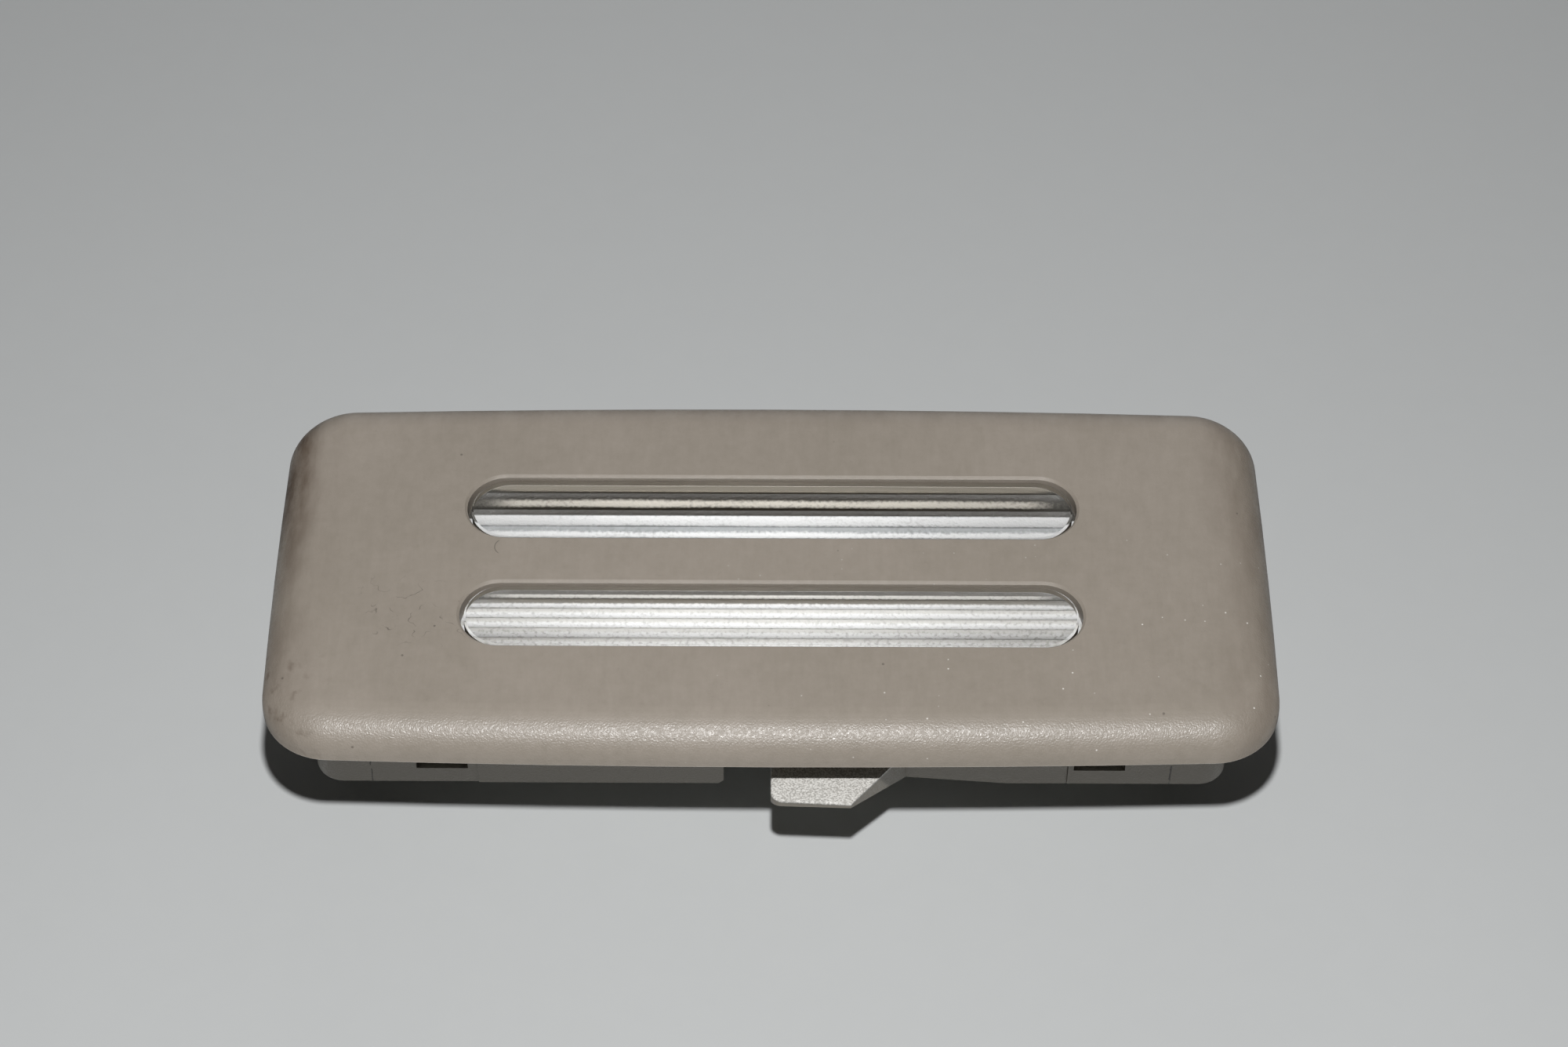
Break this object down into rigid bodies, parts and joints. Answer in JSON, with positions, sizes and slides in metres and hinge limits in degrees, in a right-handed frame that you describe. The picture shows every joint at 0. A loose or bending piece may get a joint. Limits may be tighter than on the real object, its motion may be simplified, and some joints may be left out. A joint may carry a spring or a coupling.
{
  "type": "car interior light",
  "caption": "Rectangular headlining courtesy lamp: grained cover with a bullnose rim, obround fluted windows, a sprung retaining latch, and a festoon bulb in an open-backed carrier.",
  "frame": {"origin": "centre of the rim's seating plane, which lies on the headlining", "axes": "+X along the lamp towards the socket, +Y away from the latch, +Z out of the face"},
  "size_m": [0.098, 0.0452, 0.0206],
  "materials": {
    "cover_plastic": "fine moulded grain, beige grey",
    "lens_clear": "clear plastic, fluted underneath",
    "carrier_white": "smooth white",
    "contact_brass": "stamped sheet",
    "bulb_clear": "clear glass",
    "cap_metal": "plated",
    "filament_wire": "dull wire"
  },
  "bodies": {
    "housing": {"cover": "cover_plastic", "lens": "lens_clear", "bulb_carrier": "carrier_white", "contact_left": "contact_brass", "contact_right": "contact_brass", "bulb_glass": "bulb_clear", "bulb_cap_left": "cap_metal", "bulb_cap_right": "cap_metal", "bulb_filament": "filament_wire"},
    "latch": {"retaining_latch": "cover_plastic"}
  },
  "joints": [
    {"name": "latch_flex", "type": "hinge", "parent": "housing", "child": "latch", "pos_m": [0.0285, -0.0162, -0.006], "axis": [0, 0, -1], "range_deg": [0, 8], "stiffness_Nm_per_rad": 0.6}
  ]
}
